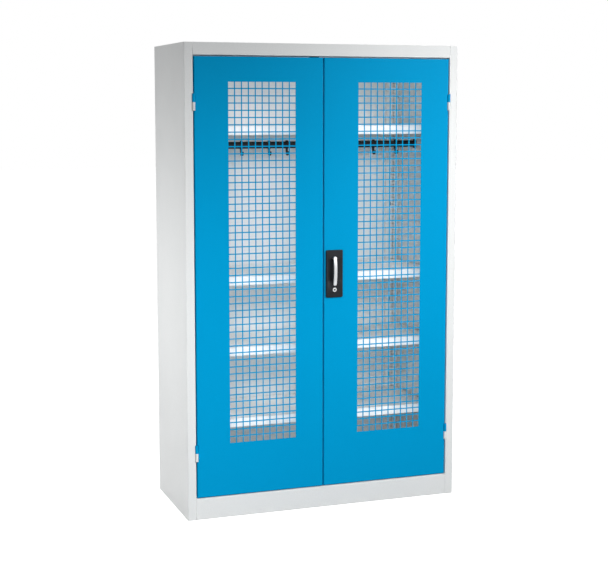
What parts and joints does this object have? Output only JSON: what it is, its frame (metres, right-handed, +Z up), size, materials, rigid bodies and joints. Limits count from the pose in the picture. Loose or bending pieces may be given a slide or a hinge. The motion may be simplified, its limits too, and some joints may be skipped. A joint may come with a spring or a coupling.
{
  "type": "perforated door cabinet",
  "caption": "Tall free-standing steel cabinet with two hinged perforated doors, adjustable shelves, a wardrobe rail with sliding hooks and a lever lock.",
  "frame": {"origin": "on the floor, under the middle of the width and of the whole depth from the lever to the back", "axes": "+Z up, +X to the right as seen from the front, the doors face -Y"},
  "size_m": [1.2, 0.5238, 1.95],
  "materials": {
    "grey_paint": "fine textured powder coat, light grey, satin",
    "blue_paint": "fine textured powder coat, light blue, satin",
    "black_plastic": "moulded, fine grain, matt",
    "handle_plastic": "moulded, soft sheen",
    "silver_cast": "silver die casting, smooth satin",
    "zinc_steel": "zinc plated sheet, faint grain"
  },
  "bodies": {
    "carcass": {"left_side_panel": "grey_paint", "left_lining": "grey_paint", "rear_left_upright": "grey_paint", "front_left_upright": "grey_paint", "right_side_panel": "grey_paint", "right_lining": "grey_paint", "rear_right_upright": "grey_paint", "front_right_upright": "grey_paint", "back_panel": "grey_paint", "top_panel": "grey_paint", "header_rail": "grey_paint", "floor_panel": "grey_paint", "front_plinth": "grey_paint", "rear_plinth": "grey_paint", "shelf_1": "grey_paint", "shelf_1_left_support": "zinc_steel", "shelf_1_right_support": "zinc_steel", "shelf_2": "grey_paint", "shelf_2_left_support": "zinc_steel", "shelf_2_right_support": "zinc_steel", "shelf_3": "grey_paint", "shelf_3_left_support": "zinc_steel", "shelf_3_right_support": "zinc_steel", "shelf_4": "grey_paint", "shelf_4_left_support": "zinc_steel", "shelf_4_right_support": "zinc_steel", "wardrobe_rail": "black_plastic", "left_rail_flange": "black_plastic", "right_rail_flange": "black_plastic", "upper_left_frame_hinge": "grey_paint", "lower_left_frame_hinge": "grey_paint", "upper_right_frame_hinge": "grey_paint", "lower_right_frame_hinge": "grey_paint", "upper_rod_keeper": "zinc_steel", "lower_rod_keeper": "zinc_steel", "upper_door_catch": "black_plastic", "lower_door_catch": "black_plastic"},
    "left_door": {"left_door_leaf": "blue_paint", "left_door_stiffener": "blue_paint", "upper_left_door_hinge": "blue_paint", "lower_left_door_hinge": "blue_paint"},
    "right_door": {"right_door_leaf": "blue_paint", "right_door_stiffener": "blue_paint", "upper_right_door_hinge": "blue_paint", "lower_right_door_hinge": "blue_paint", "handle_plate": "handle_plastic", "upper_rod_guide": "black_plastic", "lower_rod_guide": "black_plastic"},
    "lever": {"handle_lever": "silver_cast", "lever_spindle": "zinc_steel", "rod_cam": "zinc_steel"},
    "lock": {"lock_cylinder": "silver_cast"},
    "upper_rod": {"upper_lock_rod": "zinc_steel"},
    "lower_rod": {"lower_lock_rod": "zinc_steel"},
    "hook_1": {"hook_1": "black_plastic"},
    "hook_2": {"hook_2": "black_plastic"},
    "hook_3": {"hook_3": "black_plastic"},
    "hook_4": {"hook_4": "black_plastic"},
    "hook_5": {"hook_5": "black_plastic"}
  },
  "joints": [
    {"name": "left_door_swing", "type": "hinge", "parent": "carcass", "child": "left_door", "pos_m": [-0.5612, -0.2381, 1], "axis": [0, 0, -1], "range_deg": [0, 110]},
    {"name": "right_door_swing", "type": "hinge", "parent": "carcass", "child": "right_door", "pos_m": [0.5612, -0.2381, 1], "axis": [0, 0, 1], "range_deg": [0, 110]},
    {"name": "lever_turn", "type": "hinge", "parent": "right_door", "child": "lever", "pos_m": [0.0385, -0.2381, 1.0655], "axis": [0, -1, 0], "range_deg": [0, 90]},
    {"name": "lock_turn", "type": "hinge", "parent": "right_door", "child": "lock", "pos_m": [0.0385, -0.2381, 0.932], "axis": [0, 1, 0], "range_deg": [0, 90]},
    {"name": "upper_rod_slide", "type": "slide", "parent": "right_door", "child": "upper_rod", "axis": [0, 0, 1], "range_m": [0, 0.0161]},
    {"name": "lower_rod_slide", "type": "slide", "parent": "right_door", "child": "lower_rod", "axis": [0, 0, -1], "range_m": [0, 0.0161]},
    {"name": "hook_1_slide", "type": "slide", "parent": "carcass", "child": "hook_1", "axis": [1, 0, 0], "range_m": [-0.25, 0.05]},
    {"name": "hook_2_slide", "type": "slide", "parent": "carcass", "child": "hook_2", "axis": [1, 0, 0], "range_m": [-0.06, 0.03]},
    {"name": "hook_3_slide", "type": "slide", "parent": "carcass", "child": "hook_3", "axis": [1, 0, 0], "range_m": [-0.035, 0.2]},
    {"name": "hook_4_slide", "type": "slide", "parent": "carcass", "child": "hook_4", "axis": [1, 0, 0], "range_m": [-0.19, 0.04]},
    {"name": "hook_5_slide", "type": "slide", "parent": "carcass", "child": "hook_5", "axis": [1, 0, 0], "range_m": [-0.05, 0.07]}
  ],
  "couplings": [
    {"joint": "upper_rod_slide", "follows": "lever_turn", "m_per_rad": 0.010186},
    {"joint": "lower_rod_slide", "follows": "lever_turn", "m_per_rad": 0.010186}
  ]
}
